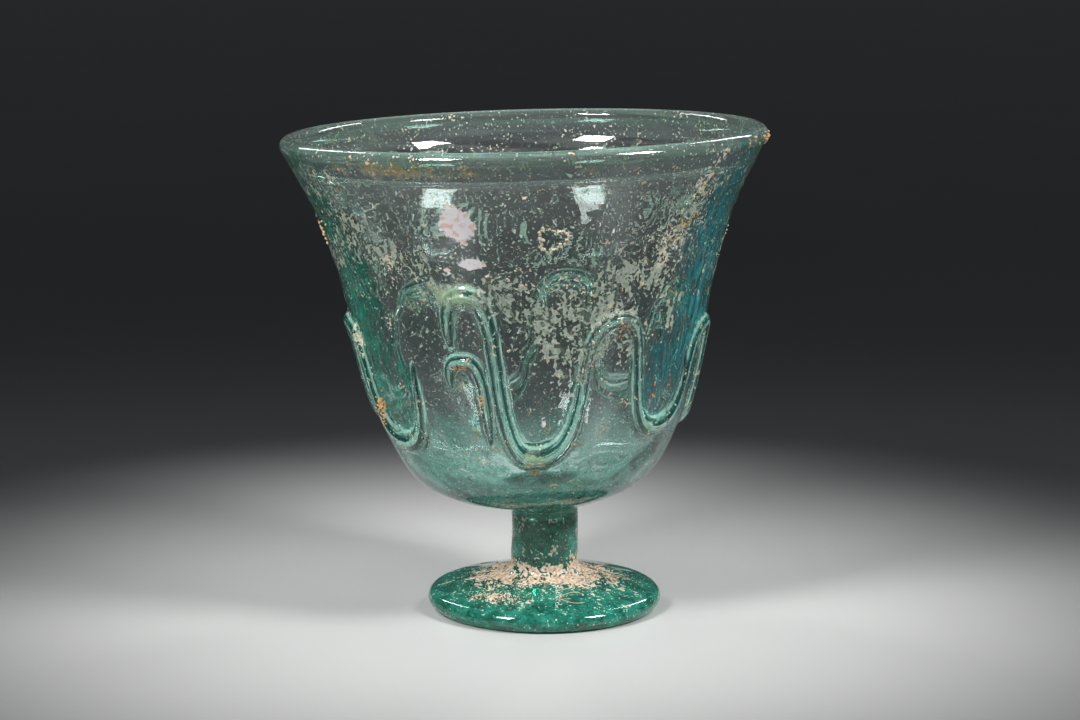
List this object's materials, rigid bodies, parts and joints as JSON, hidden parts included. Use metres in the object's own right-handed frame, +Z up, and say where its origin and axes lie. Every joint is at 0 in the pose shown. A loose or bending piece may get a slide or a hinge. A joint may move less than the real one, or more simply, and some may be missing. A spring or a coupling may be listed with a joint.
{
  "type": "glass goblet",
  "caption": "Stemmed glass goblet: flared bell bowl with a rounded lip and an applied wave thread, on a short hollow stem and round foot.",
  "frame": {"origin": "on the table, straight under the middle of the rim; the foot's axis is 4.7 mm to the right of it, because the bowl leans and sits off its stem", "axes": "+Z up out of the bowl, +X to the right and -Y towards the viewer of the picture"},
  "size_m": [0.112, 0.112, 0.1138],
  "materials": {
    "glass": "blown blue-green glass, see-through, with weathering film and fine bubbles",
    "soil_crust": "dry sandy burial soil and crust, matt"
  },
  "bodies": {
    "root": {"goblet": "glass"}
  },
  "joints": []
}
